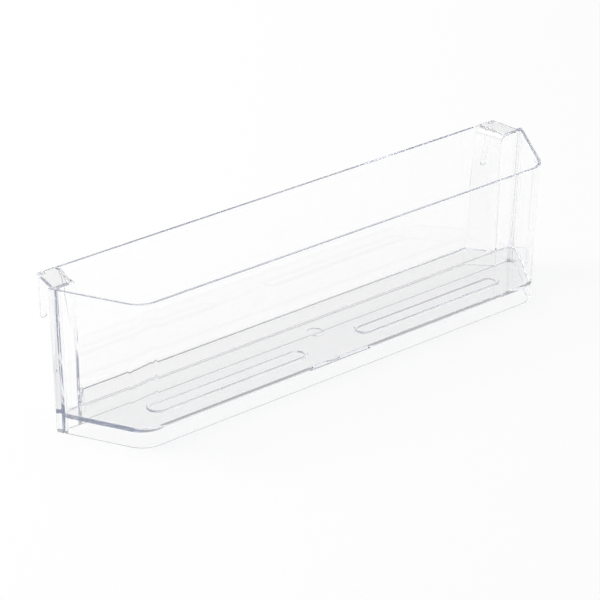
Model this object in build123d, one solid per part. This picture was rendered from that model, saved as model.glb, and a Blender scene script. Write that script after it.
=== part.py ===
from build123d import *
from math import radians, sqrt, tan
import os

# Door shelf for a fridge, one clear moulding. Millimetres, X along the door, +Y to the door, +Z up.

# Overall sizes, all taken at the rim
height = 121.5              # rest face to rim
front_width = 400.0         # across the front face, between the unrounded corners
back_width = 476.4          # across the two back corners, unrounded
body_depth = 91.8           # front face to back face

# Walls and drafts
wall = 2.7
front_draft = 0.3           # degrees; every wall leans in towards the base
end_draft = 1.2
back_draft = 3.0
notch_draft = 0.4

# Raised floor and the skirt below it
floor_top = 16.5
floor_thickness = 3.4
skirt_relief = 0.35         # extra room at the mouth of the underside, so it leaves the mould
rib_thickness = 2.4

# Corner radii of the plan
front_radius = 21.8
back_radius = 1.8
inner_back_radius = 4.5
foot_radius = 1.0           # where the walls meet the floor inside

# Notch at each back corner
notch_depth = 25.2

# Hook roof over each notch, set in from the back corner
roof_margin = 2.6           # flat of the notch between the rounded back corner and the roof edge
roof_splay = 3.7            # how much nearer the middle that edge ends at the back face
roof_width = 19.3           # along the back face
roof_thickness = 2.8
roof_draft = 2.5            # degrees, on the outer edge
roof_corner_radius = 1.2    # inner corner between the roof edge and the notch
roof_radius = 7.8           # rolled edge from the roof down into the pocket wall

# Pocket under each roof; its wall twists on the way down, so the door lug finds a wide way in
pocket_flare = 5.4          # how much further out the wall stands at the notch than at the back face
pocket_front_lean = 0.9     # degrees, inwards on the way down
pocket_back_lean = 6.9      # degrees, inwards on the way down

# Tongue hanging from each roof
tongue_top_width = 6.2
tongue_tip_width = 5.0
tongue_taper = 3.5          # roof edge to the outer edge of the tip
tongue_end = 81.5           # height of the tip above the rest face
tongue_thickness = 2.4
tongue_kick = 3.2           # how far the tip stands behind the back face
tongue_step = 0.4           # shoulder between the roof edge and the tongue
tongue_tip_radius = 2.2
tongue_root_radius = 1.5
tongue_edge_radius = 0.6    # both long edges on the door side

# Two stiffening beads pressed up in the floor
bead_gap = 52.0             # between the facing bead ends
bead_length = 151.0
bead_width = 16.8
bead_centre = 66.2          # behind-to-front distance from the back face
bead_height = 1.6
bead_edge_radius = 1.0
bead_wall = 2.6             # margin kept around the hollow under a bead

# Moulding gate in the middle of the floor
gate_centre = 46.5          # distance in front of the back face
gate_dish = 14.0
gate_dish_depth = 0.7
gate_stub = 3.0
gate_stub_length = 0.9

# Edge breaks
rim_radius = 0.7
base_radius = 0.5

# Positions worked out from the sizes
front_y = -(body_depth + tongue_kick) / 2
back_y = front_y + body_depth
notch_y = back_y - notch_depth
floor_under = floor_top - floor_thickness
end_slope = (back_width - front_width) / 2 / (body_depth - notch_depth)
tip_run = back_radius * (sqrt(1 + end_slope ** 2) + end_slope)
roof_front = back_width / 2 - tip_run - roof_margin
roof_back = roof_front - roof_splay
roof_under = height - roof_thickness
pocket_back = roof_back - roof_width
pocket_front = pocket_back + pocket_flare
tongue_top_out = roof_back - tongue_step
tongue_top_in = tongue_top_out - tongue_top_width
tongue_tip_out = roof_back - tongue_taper
tongue_tip_in = tongue_tip_out - tongue_tip_width


def corners(z, inset):
    """Right-hand corners of the wall line at height z, moved inwards by inset."""
    drop = height - z
    y_front = front_y + drop * tan(radians(front_draft)) + inset
    y_back = back_y - drop * tan(radians(back_draft)) - inset
    y_notch = notch_y - drop * tan(radians(notch_draft)) - inset
    end_in = (drop * tan(radians(end_draft)) + inset) * sqrt(1 + end_slope ** 2)
    x_front = pocket_front - drop * tan(radians(pocket_front_lean))
    x_back = pocket_back - drop * tan(radians(pocket_back_lean))
    pocket_slope = (x_back - x_front) / (y_back - y_notch)
    pocket_in = inset * sqrt(1 + pocket_slope ** 2)

    def end_x(y):
        return front_width / 2 + (y - front_y) * end_slope - end_in

    def pocket_x(y):
        return x_front + (y - y_notch - inset) * pocket_slope - pocket_in

    return {
        "front": (end_x(y_front), y_front),
        "tip": (end_x(y_notch), y_notch),
        "root": (pocket_x(y_notch), y_notch),
        "back": (pocket_x(y_back), y_back),
    }


def roof_x(y):
    """Half width to the outer edge of the roof."""
    return roof_front - (y - notch_y) * roof_splay / notch_depth


def both_sides(right):
    """Closed outline from its right-hand points, front to back."""
    return right + [(-x, y) for x, y in reversed(right)]


def between(low, low_points, high, high_points):
    """Solid with straight sides between two outlines at two heights; a twisted side is ruled."""
    lower = [Vector(x, y, low) for x, y in low_points]
    upper = [Vector(x, y, high) for x, y in high_points]
    faces = [Face(Wire.make_polygon(lower)), Face(Wire.make_polygon(upper))]
    for i in range(len(lower)):
        j = (i + 1) % len(lower)
        along = lower[j] - lower[i]
        out_of_flat = along.cross(upper[i] - lower[i]).normalized().dot(upper[j] - lower[i])
        if abs(out_of_flat) < 1e-6:
            faces.append(Face(Wire.make_polygon([lower[i], lower[j], upper[j], upper[i]])))
        else:
            low_edge = Edge.make_line(lower[i], lower[j])
            high_edge = Edge.make_line(upper[i], upper[j])
            faces.append(Face.make_surface_from_curves(low_edge, high_edge))
    return Solid(Shell(faces))


def rolled_edges(solid):
    """Top edges of a right-hand pocket solid that run front to back on its inner side."""
    top = solid.edges().group_by(Axis.Z)[-1]
    return [e for e in top if (e @ 0.5).X < pocket_front and abs((e % 0.5).Y) > 0.5]


def upright(solid, near):
    """Upright edges whose plan position lies close to one of the points given."""
    found = []
    for edge in solid.edges():
        direction = edge % 0.5
        if abs(direction.Z) < 0.9:
            continue
        middle = edge @ 0.5
        for x, y in near:
            if abs(abs(middle.X) - x) < 4.0 and abs(middle.Y - y) < 4.0:
                found.append(edge)
                break
    return found


# Outer block, with the corner notches still filled up to the roof edge
def block_outline(z):
    at = corners(z, 0)
    y_notch = at["tip"][1]
    y_back = at["back"][1]
    lean = (height - z) * tan(radians(roof_draft))
    x_near = roof_x(y_notch) - lean
    x_far = roof_x(y_back) - lean
    return both_sides([at["front"], at["tip"], (x_near, y_notch), (x_far, y_back)])


block = between(0, block_outline(0), height, block_outline(height))
middle = corners(height / 2, 0)
block = fillet(upright(block, [block_outline(height / 2)[2]]), roof_corner_radius)
block = fillet(upright(block, [middle["front"]]), front_radius)
block = fillet(upright(block, [middle["tip"]]), back_radius)
block = fillet(block.edges().group_by(Axis.Z)[-1], rim_radius)

# Bin interior from the floor up, running on under both roofs
def bin_outline(z):
    at = corners(z, wall)
    x_side = pocket_front
    return both_sides([at["front"], at["tip"], (x_side, at["tip"][1]), (x_side, at["back"][1])])


bin_space = between(floor_top, bin_outline(floor_top), height, bin_outline(height))
middle = corners((height + floor_top) / 2, wall)
bin_space = fillet(upright(bin_space, [middle["front"]]), front_radius - wall)
bin_space = fillet(upright(bin_space, [middle["tip"]]), inner_back_radius)
shelf = block - bin_space
rim_face = shelf.faces().sort_by(Axis.Z)[-1]
shelf = fillet(rim_face.inner_wires()[0].edges(), rim_radius)

# Pocket casing that stands in each back corner of the bin, rolled over at the top
def casing_outline(z):
    at = corners(z, wall)
    x_root, y_root = at["root"]
    x_back, y_back = at["back"]
    step = (x_back - x_root) / (y_back - y_root)
    y_rear = y_back + wall / 2
    x_rear = x_root + step * (y_rear - y_root)
    x_near = roof_x(y_root) - roof_thickness
    x_far = roof_x(y_rear) - roof_thickness
    return [(x_root, y_root), (x_near, y_root), (x_far, y_rear), (x_rear, y_rear)]


casing = between(0, casing_outline(0), height, casing_outline(height))
casing = fillet(rolled_edges(casing), roof_radius)
shelf = shelf + casing + mirror(casing, about=Plane.YZ)

# Space under each roof, open downwards, outwards and to the back
def pocket_outline(z):
    at = corners(z, 0)
    x_root, y_root = at["root"]
    x_back, y_back = at["back"]
    step = (x_back - x_root) / (y_back - y_root)
    y_far = back_y + 10
    x_far = x_root + step * (y_far - y_root)
    return [(x_root, y_root), (back_width, y_root), (back_width, y_far), (x_far, y_far)]


pocket = between(-1, pocket_outline(-1), roof_under, pocket_outline(roof_under))
pocket = fillet(rolled_edges(pocket), roof_radius - wall)
shelf = shelf - pocket - mirror(pocket, about=Plane.YZ)

# Soft foot where the walls meet the floor
foot = []
for edge in shelf.edges():
    if abs((edge @ 0).Z - floor_top) < 0.01 and abs((edge @ 1).Z - floor_top) < 0.01:
        foot.append(edge)
shelf = fillet(foot, foot_radius)

# Underside hollowed on both sides of a long rib that carries the notch walls across
def front_hollow(z, inset):
    at = corners(z, inset)
    return both_sides([at["front"], at["tip"]])


hollow = between(0, front_hollow(0, wall - skirt_relief), floor_under, front_hollow(floor_under, wall))
middle = corners(floor_under / 2, wall)
hollow = fillet(upright(hollow, [middle["front"]]), front_radius - wall)
hollow = fillet(upright(hollow, [middle["tip"]]), inner_back_radius)
shelf = shelf - hollow


def back_hollow(z, inset):
    at = corners(z, inset)
    x_root, y_root = at["root"]
    x_back, y_back = at["back"]
    step = (x_back - x_root) / (y_back - y_root)
    y_rib = corners(z, wall)["root"][1] + rib_thickness
    return both_sides([(x_root + step * (y_rib - y_root), y_rib), (x_back, y_back)])


hollow = between(0, back_hollow(0, wall - skirt_relief), floor_under, back_hollow(floor_under, wall))
shelf = shelf - hollow

# Long beads in the floor, hollow underneath
bead_y = back_y - bead_centre
bead_x = (bead_gap + bead_length) / 2
for side in (-1, 1):
    spot = Location((side * bead_x, bead_y, floor_top))
    bead = spot * extrude(SlotOverall(bead_length, bead_width), bead_height)
    bead = fillet(bead.edges().group_by(Axis.Z)[-1], bead_edge_radius)
    shelf = shelf + bead
    spot = Location((side * bead_x, bead_y, floor_under))
    slot = SlotOverall(bead_length - 2 * bead_wall, bead_width - 2 * bead_wall)
    shelf = shelf - spot * extrude(slot, bead_height)

# Gate dish on top of the floor and the trimmed stub below it
gate_y = back_y - gate_centre
spot = Location((0, gate_y, floor_top - gate_dish_depth))
shelf = shelf - spot * extrude(Circle(gate_dish / 2), gate_dish_depth)
spot = Location((0, gate_y, floor_under - gate_stub_length))
shelf = shelf + spot * extrude(Circle(gate_stub / 2), gate_stub_length)

# Tongues: wide and flush at the roof, narrower and kicked back at the tip
def tongue_outline(inner, outer, rear):
    front = rear - tongue_thickness
    return [(inner, front), (outer, front), (outer, rear), (inner, rear)]


root = tongue_outline(tongue_top_in, tongue_top_out, back_y - tongue_step)
tip = tongue_outline(tongue_tip_in, tongue_tip_out, back_y + tongue_kick)
tongue = between(tongue_end, tip, height - roof_thickness / 2, root)
tip_edges = [e for e in tongue.edges().group_by(Axis.Z)[0] if abs((e % 0.5).Y) > 0.7]
tongue = fillet(tip_edges, tongue_tip_radius)
rear_face = max(tongue.faces(), key=lambda f: f.normal_at().Y)
rear_edges = [e for e in rear_face.edges() if (e @ 0.5).Z < roof_under - 1]
tongue = fillet(rear_edges, tongue_edge_radius)
shelf = shelf + tongue + mirror(tongue, about=Plane.YZ)

# Soft root where the front of each tongue leaves its roof
roots = []
for edge in shelf.edges():
    spot = edge @ 0.5
    level = abs(spot.Z - roof_under) < 0.01 and abs((edge % 0.5).X) > 0.9
    inside = notch_y + 1 < spot.Y < back_y - tongue_thickness
    if level and inside and abs(spot.X) > tongue_top_in:
        roots.append(edge)
shelf = fillet(roots, tongue_root_radius)

# Broken outer edge of the base
base_face = shelf.faces().sort_by(Axis.Z)[0]
shelf = fillet(base_face.outer_wire().edges(), base_radius)

os.makedirs("parts", exist_ok=True)
export_step(shelf, "parts/door_shelf.step")
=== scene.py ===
# %% [markdown]
# # A clear door shelf for a fridge
# The object is one injection moulding of clear plastic: a deep bin with slanted ends, a floor
# raised on a skirt, and a hook with a hanging tongue at each back corner. The solid model already
# has every wall, rib and radius, so this lesson is about one thing: making thin clear plastic
# look like clear plastic on a white table.

# %% Load the solid model
import bpy
import math
from mathutils import Euler, Matrix, Vector


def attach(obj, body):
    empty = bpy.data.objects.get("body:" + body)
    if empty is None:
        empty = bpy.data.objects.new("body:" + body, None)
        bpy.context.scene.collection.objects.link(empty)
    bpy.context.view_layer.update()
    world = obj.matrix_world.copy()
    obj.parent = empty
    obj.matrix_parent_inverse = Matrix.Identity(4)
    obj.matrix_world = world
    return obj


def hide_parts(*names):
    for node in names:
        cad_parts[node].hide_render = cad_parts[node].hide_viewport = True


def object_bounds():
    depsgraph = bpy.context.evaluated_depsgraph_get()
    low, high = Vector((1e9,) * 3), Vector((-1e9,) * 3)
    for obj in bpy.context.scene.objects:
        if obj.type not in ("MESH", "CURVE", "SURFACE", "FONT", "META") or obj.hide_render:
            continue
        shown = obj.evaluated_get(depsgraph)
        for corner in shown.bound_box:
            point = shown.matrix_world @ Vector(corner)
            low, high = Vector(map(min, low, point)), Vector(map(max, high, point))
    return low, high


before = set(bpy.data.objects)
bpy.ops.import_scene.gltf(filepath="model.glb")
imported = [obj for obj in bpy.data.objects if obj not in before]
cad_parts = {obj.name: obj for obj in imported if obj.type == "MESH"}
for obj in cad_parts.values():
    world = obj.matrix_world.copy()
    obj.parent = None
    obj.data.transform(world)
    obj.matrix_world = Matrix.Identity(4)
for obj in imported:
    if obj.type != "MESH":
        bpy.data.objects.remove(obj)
cad_low, cad_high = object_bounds()
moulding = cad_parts["door_shelf"]
print("moulding", [round(v, 4) for v in cad_low], [round(v, 4) for v in cad_high])

# %% [markdown]
# ## The moulding
# The model arrives as loose triangles. Light that passes through clear plastic bends at every
# facet, so loose triangles would show as flat strips on the rounded corners. A copy of the mesh
# is merged at its shared points, so that it can be shaded smooth except across real edges. The
# shape stays exactly the model's own, and the copy stands in for it. Only points that lie on each
# other are merged: a wider distance folds the thinnest triangles and leaves scraps behind.

# %% Merge a copy
MERGE_DISTANCE = 0.000001

shelf = bpy.data.objects.new("clear_shelf", moulding.data.copy())
bpy.context.collection.objects.link(shelf)
bpy.ops.object.select_all(action="DESELECT")
bpy.context.view_layer.objects.active = shelf
shelf.select_set(True)
bpy.ops.object.mode_set(mode="EDIT")
bpy.ops.mesh.select_all(action="SELECT")
bpy.ops.mesh.remove_doubles(threshold=MERGE_DISTANCE)
bpy.ops.object.mode_set(mode="OBJECT")
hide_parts("door_shelf")
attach(shelf, "root")
print("merged copy", len(shelf.data.vertices), "points", len(shelf.data.polygons), "faces")

# %% [markdown]
# ## Flat faces that stay flat
# A moulded wall is truly flat right up to the line where its rounded corner begins. Ordinary
# smooth shading would tilt the wall a little near that line, and in clear plastic a tilt of one
# degree already shows as a false streak. So the triangles are first gathered into flat patches.
# At each point the largest patch decides the direction, and the small strips of a rounding
# follow it.

# %% Gather the flat patches
FLAT_WITHIN = math.radians(0.4)


def flat_patches(mesh, angle):
    limit = math.cos(angle)
    by_edge = {}
    for face in mesh.polygons:
        for edge in face.edge_keys:
            by_edge.setdefault(edge, []).append(face.index)
    patch = [-1] * len(mesh.polygons)
    areas = []
    for start in range(len(patch)):
        if patch[start] >= 0:
            continue
        patch[start] = len(areas)
        area = 0.0
        waiting = [start]
        while waiting:
            face = mesh.polygons[waiting.pop()]
            area += face.area
            for edge in face.edge_keys:
                for other in by_edge[edge]:
                    if patch[other] < 0 and face.normal.dot(mesh.polygons[other].normal) > limit:
                        patch[other] = len(areas)
                        waiting.append(other)
        areas.append(area)
    return patch, areas


mesh = shelf.data
patch, areas = flat_patches(mesh, FLAT_WITHIN)
print("flat patches", len(areas), "largest", round(max(areas) * 1e4, 1), "square cm")

# %% Turn each corner towards its largest neighbour
SMOOTH_UP_TO = math.radians(24)
AREA_POWER = 1.5

around = [[] for _ in mesh.vertices]
for face in mesh.polygons:
    for point in face.vertices:
        around[point].append(face)

normals = []
for face in mesh.polygons:
    for point in face.vertices:
        total = Vector()
        counted = set()
        for other in around[point]:
            group = patch[other.index]
            if group not in counted and face.normal.dot(other.normal) > math.cos(SMOOTH_UP_TO):
                counted.add(group)
                total += other.normal * areas[group] ** AREA_POWER
        normals.append(total.normalized())
for face in mesh.polygons:
    face.use_smooth = True
mesh.normals_split_custom_set(normals)
print("corner directions set", len(normals))

# %% [markdown]
# ## Clear plastic
# Crystal polystyrene bends light strongly, so its index of refraction is high. It could be drawn
# with a plain see-through shader, but then the edges would stay empty. Real transmission is used
# instead: it lets light run along inside a wall and come out at the rim, as it does on the real
# shelf.

# %% Start the material
PLASTIC_INDEX = 1.57

clear = bpy.data.materials.new("clear_polystyrene")
clear.use_nodes = True
nodes = clear.node_tree.nodes
links = clear.node_tree.links
nodes.clear()
skin = nodes.new("ShaderNodeBsdfPrincipled")
skin.inputs["Base Color"].default_value = (1.0, 1.0, 1.0, 1.0)
skin.inputs["Transmission Weight"].default_value = 1.0
skin.inputs["IOR"].default_value = PLASTIC_INDEX
print("plastic with index", PLASTIC_INDEX)

# %% [markdown]
# ## Flow ripple and uneven polish
# Molten plastic cools as it spreads from the gate, so a moulded wall is never a perfect mirror:
# slow ripples a few hundredths of a millimetre high bend the lines seen through it. The steel of
# the mould is also polished by hand, and its gloss is a little uneven. Both come from soft noise
# on the object's own coordinates, so they stay with the shelf when it is turned.

# %% Ripple in the surface
RIPPLES_PER_METRE = 22.0
RIPPLE_HEIGHT = 0.0006
RIPPLE_SHARE = 0.10

place = nodes.new("ShaderNodeTexCoord")
flow = nodes.new("ShaderNodeTexNoise")
flow.inputs["Scale"].default_value = RIPPLES_PER_METRE
flow.inputs["Detail"].default_value = 1.0
ripple = nodes.new("ShaderNodeBump")
ripple.inputs["Strength"].default_value = RIPPLE_SHARE
ripple.inputs["Distance"].default_value = RIPPLE_HEIGHT
links.new(place.outputs["Object"], flow.inputs["Vector"])
links.new(flow.outputs["Fac"], ripple.inputs["Height"])
links.new(ripple.outputs["Normal"], skin.inputs["Normal"])
print("ripples about", round(1000 / RIPPLES_PER_METRE), "mm apart")

# %% Uneven polish
PATCHES_PER_METRE = 70.0
GLOSSY_BELOW = 0.35
DULL_ABOVE = 0.75
DULLEST = 0.035


def spread(nodes, low, high, result_low, result_high):
    """Node that turns a number between low and high into one between the two results."""
    node = nodes.new("ShaderNodeMapRange")
    node.inputs["From Min"].default_value = low
    node.inputs["From Max"].default_value = high
    node.inputs["To Min"].default_value = result_low
    node.inputs["To Max"].default_value = result_high
    return node


polish = nodes.new("ShaderNodeTexNoise")
polish.inputs["Scale"].default_value = PATCHES_PER_METRE
polish.inputs["Detail"].default_value = 3.0
gloss = spread(nodes, GLOSSY_BELOW, DULL_ABOVE, 0.0, DULLEST)
links.new(place.outputs["Object"], polish.inputs["Vector"])
links.new(polish.outputs["Fac"], gloss.inputs["Value"])
links.new(gloss.outputs["Result"], skin.inputs["Roughness"])
print("roughness up to", DULLEST)

# %% [markdown]
# ## Blue-grey in the depth
# A thin wall looks colourless. Where light has run far inside the plastic, at the rim and along
# the floor, it comes out blue-grey. That colour belongs to the depth of the plastic and not to its
# skin, so it is an absorption in the volume.

# %% Tint the depth
DEPTH_COLOUR = (0.30, 0.36, 0.55)
DEPTH_STRENGTH = 1.9

depth_tint = nodes.new("ShaderNodeVolumeAbsorption")
depth_tint.inputs["Color"].default_value = (*DEPTH_COLOUR, 1.0)
depth_tint.inputs["Density"].default_value = DEPTH_STRENGTH
print("absorption per metre", [round(DEPTH_STRENGTH * (1 - c), 2) for c in DEPTH_COLOUR])

# %% [markdown]
# ## Shadow of a clear thing
# Clear plastic throws only a pale shadow. The renderer would treat the walls as solid for lamp
# light, or leave bright specks where it tries to focus it. So rays on their way to a lamp, and
# rays that leave the table, pass straight through and lose a few per cent at each skin.

# %% Let lamp light through
PASSES = (0.965, 0.967, 0.971, 1.0)

lamp_pass = nodes.new("ShaderNodeBsdfTransparent")
lamp_pass.inputs["Color"].default_value = PASSES
ray = nodes.new("ShaderNodeLightPath")
from_table = nodes.new("ShaderNodeMixShader")
to_lamp = nodes.new("ShaderNodeMixShader")
out = nodes.new("ShaderNodeOutputMaterial")
links.new(ray.outputs["Is Diffuse Ray"], from_table.inputs["Fac"])
links.new(skin.outputs["BSDF"], from_table.inputs[1])
links.new(lamp_pass.outputs["BSDF"], from_table.inputs[2])
links.new(ray.outputs["Is Shadow Ray"], to_lamp.inputs["Fac"])
links.new(from_table.outputs["Shader"], to_lamp.inputs[1])
links.new(lamp_pass.outputs["BSDF"], to_lamp.inputs[2])
links.new(to_lamp.outputs["Shader"], out.inputs["Surface"])
links.new(depth_tint.outputs["Volume"], out.inputs["Volume"])
shelf.data.materials.clear()
shelf.data.materials.append(clear)
print("material on", shelf.name, [m.name for m in shelf.data.materials])

# %% [markdown]
# ## The table
# A large white sheet. It takes the soft shadow and is what shows through the clear walls, so it
# reaches far past the picture on every side.

# %% Lay the white table
TABLE_WIDTH = 24.0
HAIR_GAP = 0.0004
SHEET_WHITE = (0.95, 0.95, 0.95, 1.0)

bpy.ops.object.select_all(action="DESELECT")
bpy.ops.mesh.primitive_plane_add(size=TABLE_WIDTH, location=(0, 0, cad_low.z - HAIR_GAP))
table = bpy.context.object
table.name = "white_table"
white = bpy.data.materials.new("white_sheet")
white.use_nodes = True
sheet = white.node_tree.nodes["Principled BSDF"]
sheet.inputs["Base Color"].default_value = SHEET_WHITE
sheet.inputs["Roughness"].default_value = 0.9
sheet.inputs["Specular IOR Level"].default_value = 0.1
table.data.materials.append(white)
print("table", table.dimensions.x, "m wide, top at", round(cad_low.z - HAIR_GAP, 4))

# %% [markdown]
# ## A sheet that stays white
# More light would whiten the sheet and wash out the shelf as well. Instead, what the lens sees of
# the sheet, straight or through the plastic, is a little over half plain white. The other part is
# lit by the lamps and keeps the shadow. Far out, where the lamps hardly reach, the sheet is plain
# white all through, so no grey band shows from a low seat.

# %% More plain white further out
PLAIN_SHARE = 0.55
LAMPLIT_TO = 1.2
PLAIN_FROM = 4.0

blend = white.node_tree
spot = blend.nodes.new("ShaderNodeTexCoord")
away = blend.nodes.new("ShaderNodeVectorMath")
away.operation = "LENGTH"
plain_part = spread(blend.nodes, LAMPLIT_TO, PLAIN_FROM, PLAIN_SHARE, 1.0)
blend.links.new(spot.outputs["Object"], away.inputs[0])
blend.links.new(away.outputs["Value"], plain_part.inputs["Value"])
print("plain white share", PLAIN_SHARE, "up to", LAMPLIT_TO, "m")

# %% Mix plain white into the sheet
plain = blend.nodes.new("ShaderNodeEmission")
plain.inputs["Strength"].default_value = 1.0
look = blend.nodes.new("ShaderNodeLightPath")
bent = blend.nodes.new("ShaderNodeMath")
bent.operation = "MAXIMUM"
any_look = blend.nodes.new("ShaderNodeMath")
any_look.operation = "MAXIMUM"
share = blend.nodes.new("ShaderNodeMath")
share.operation = "MULTIPLY"
both = blend.nodes.new("ShaderNodeMixShader")
blend.links.new(look.outputs["Is Glossy Ray"], bent.inputs[0])
blend.links.new(look.outputs["Is Transmission Ray"], bent.inputs[1])
blend.links.new(look.outputs["Is Camera Ray"], any_look.inputs[0])
blend.links.new(bent.outputs["Value"], any_look.inputs[1])
blend.links.new(any_look.outputs["Value"], share.inputs[0])
blend.links.new(plain_part.outputs["Result"], share.inputs[1])
blend.links.new(share.outputs["Value"], both.inputs["Fac"])
blend.links.new(sheet.outputs["BSDF"], both.inputs[1])
blend.links.new(plain.outputs["Emission"], both.inputs[2])
blend.links.new(both.outputs["Shader"], blend.nodes["Material Output"].inputs["Surface"])
print("sheet with", len(blend.nodes), "nodes")

# %% [markdown]
# ## Lamps
# One large soft lamp behind and to the left throws the faint shadow to the right. A wider one
# overhead fills it in. Both hang far away, so the table is evenly lit.

# %% Hang the lamps
def soft_lamp(name, place, width, power):
    lamp = bpy.data.lights.new(name, "AREA")
    lamp.shape = "SQUARE"
    lamp.size = width
    lamp.energy = power
    holder = bpy.data.objects.new(name, lamp)
    holder.location = place
    holder.rotation_euler = (-Vector(place)).to_track_quat("-Z", "Y").to_euler()
    bpy.context.collection.objects.link(holder)
    print(name, power, "W")


soft_lamp("window_lamp", place=(-3.0, 3.6, 5.2), width=2.8, power=352.0)
soft_lamp("ceiling_lamp", place=(0.6, -0.4, 6.0), width=5.5, power=96.0)

# %% [markdown]
# ## The room
# Clear things are drawn by what they bend into view. If all the room were white, the edges would
# vanish. So the room is dim, darkest behind the lens and paler towards the far wall: that draws
# the thin dark lines along the edges and beads.

# %% Dim room, paler at the far side
FAR_SIDE = Vector((0.64, 0.77, 0.0))
DARKEST = 0.08
PALEST = 0.50
DARKEST_AT = -0.6
PALEST_AT = 0.5

world = bpy.data.worlds.new("studio_room")
bpy.context.scene.world = world
world.use_nodes = True
room = world.node_tree
room.nodes.clear()
facing = room.nodes.new("ShaderNodeTexCoord")
towards = room.nodes.new("ShaderNodeVectorMath")
towards.operation = "DOT_PRODUCT"
towards.inputs[1].default_value = FAR_SIDE
fade = spread(room.nodes, DARKEST_AT, PALEST_AT, DARKEST, PALEST)
room.links.new(facing.outputs["Generated"], towards.inputs[0])
room.links.new(towards.outputs["Value"], fade.inputs["Value"])
print("paler towards", [round(v, 2) for v in FAR_SIDE])

# %% [markdown]
# ## Where the table ends
# From a low seat the lens looks past the edge of the table. Just above that edge the room is
# white like the sheet, for the plastic as well as for the lens, so the walls stay clear from there
# too. Higher up only the lens itself sees white.

# %% White strip above the table's edge
WHITE_UP_TO = math.radians(3)
DIM_FROM = math.radians(9)

split = room.nodes.new("ShaderNodeSeparateXYZ")
strip = spread(room.nodes, math.sin(WHITE_UP_TO), math.sin(DIM_FROM), 1.0, PALEST)
walls = room.nodes.new("ShaderNodeBackground")
walls.inputs["Color"].default_value = (1.0, 1.0, 1.0, 1.0)
room.links.new(facing.outputs["Generated"], split.inputs["Vector"])
room.links.new(split.outputs["Z"], strip.inputs["Value"])
room.links.new(fade.outputs["Result"], strip.inputs["To Max"])
room.links.new(strip.outputs["Result"], walls.inputs["Strength"])
print("white up to", round(math.degrees(WHITE_UP_TO)), "degrees above the table")

# %% White for the lens
paper = room.nodes.new("ShaderNodeBackground")
paper.inputs["Color"].default_value = (1.0, 1.0, 1.0, 1.0)
paper.inputs["Strength"].default_value = 1.0
seen = room.nodes.new("ShaderNodeLightPath")
pick = room.nodes.new("ShaderNodeMixShader")
sky = room.nodes.new("ShaderNodeOutputWorld")
room.links.new(seen.outputs["Is Camera Ray"], pick.inputs["Fac"])
room.links.new(walls.outputs["Background"], pick.inputs[1])
room.links.new(paper.outputs["Background"], pick.inputs[2])
room.links.new(pick.outputs["Shader"], sky.inputs["Surface"])
print("room with", len(room.nodes), "nodes")

# %% [markdown]
# ## Long ways inside the walls
# Light that enters the rim strikes the two skins of the wall dozens of times before it comes out.
# If the renderer gives up early, the rim turns black, so it may follow each ray for a long way.

# %% Follow each ray for long
BOUNCES = 500

paths = bpy.context.scene.cycles
paths.max_bounces = BOUNCES
paths.transmission_bounces = BOUNCES
paths.glossy_bounces = BOUNCES
print("bounces", BOUNCES)

# %% [markdown]
# ## Camera
# A long lens from the front left looks down into the bin. It leans by less than a degree, as a
# camera held by hand does.

# %% Place the camera
EYE = Vector((-1.21451, -1.44980, 1.03203))
TURN = math.radians(39.649)
TILT = math.radians(27.595)
ROLL = math.radians(0.893)
LENS = 162.75

camera = bpy.data.cameras.new("long_lens")
camera.sensor_width = 36.0
camera.lens = LENS
camera.clip_end = 50.0
viewer = bpy.data.objects.new("long_lens", camera)
viewer.location = EYE
aim = Euler((math.pi / 2 - TILT, 0.0, -TURN)).to_matrix() @ Matrix.Rotation(ROLL, 3, "Z")
viewer.rotation_euler = aim.to_euler()
bpy.context.collection.objects.link(viewer)
bpy.context.scene.camera = viewer
print("camera", round(EYE.length, 2), "m away, lens", LENS, "mm")

# %% [markdown]
# ## View
# The copy is exactly as large as the solid model, since it is a copy of the same mesh.
# The picture is drawn with the Standard view transform.

# %% Set the view and finish
bpy.context.scene.view_settings.view_transform = "Standard"
